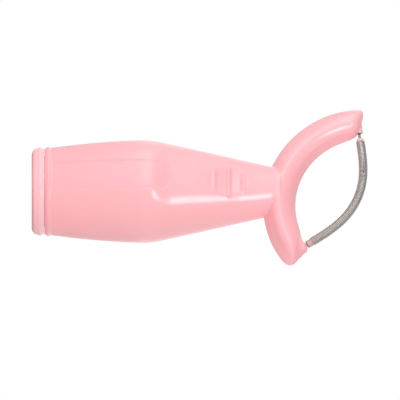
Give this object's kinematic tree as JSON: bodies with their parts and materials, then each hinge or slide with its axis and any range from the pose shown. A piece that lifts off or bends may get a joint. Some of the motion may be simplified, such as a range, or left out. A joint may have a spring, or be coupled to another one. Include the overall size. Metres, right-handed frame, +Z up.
{
  "type": "facial hair removal spring",
  "caption": "Hand-held rolling spring hair remover: hollow tapered grip, arched yoke and a bowed coil spring that spins on pivot pins.",
  "frame": {"origin": "centre of the flat rear face that the tool stands on", "axes": "+Z up the handle towards the head, -Y the front with the label recess and thumb rest, the head lies in the XZ plane and its lower tip points to +X"},
  "size_m": [0.064, 0.0389, 0.1284],
  "materials": {
    "front_pink_abs": "glossy moulded pink",
    "back_pink_abs": "glossy moulded pink",
    "cap_pink_abs": "glossy moulded pink",
    "upper_bush_acetal": "satin, slightly translucent",
    "lower_bush_acetal": "satin, slightly translucent",
    "upper_plug_nylon": "satin, slightly translucent",
    "lower_plug_nylon": "satin, slightly translucent",
    "upper_pin_steel": "bright drawn",
    "lower_pin_steel": "bright drawn",
    "spring_steel": "bright drawn spring wire"
  },
  "bodies": {
    "handle": {"front_shell": "front_pink_abs", "back_shell": "back_pink_abs", "upper_bush": "upper_bush_acetal", "lower_bush": "lower_bush_acetal", "coil_spring": "spring_steel"},
    "rear_closure": {"rear_cap": "cap_pink_abs"},
    "upper_end": {"upper_pivot_pin": "upper_pin_steel", "upper_end_plug": "upper_plug_nylon"},
    "lower_end": {"lower_pivot_pin": "lower_pin_steel", "lower_end_plug": "lower_plug_nylon"}
  },
  "joints": [
    {"name": "rear_cap_pull", "type": "slide", "parent": "handle", "child": "rear_closure", "axis": [0, 0, -1], "range_m": [0, 0.02]},
    {"name": "upper_spin", "type": "hinge", "parent": "handle", "child": "upper_end", "pos_m": [-0.02006, 0, 0.12571], "axis": [0.99, 0, 0.1409], "continuous": true, "deforming": ["coil_spring"]},
    {"name": "lower_spin", "type": "hinge", "parent": "handle", "child": "lower_end", "pos_m": [0.02056, 0, 0.10729], "axis": [0.5461, 0, -0.8377], "continuous": true}
  ],
  "couplings": [
    {"joint": "lower_spin", "follows": "upper_spin", "ratio": 1}
  ]
}
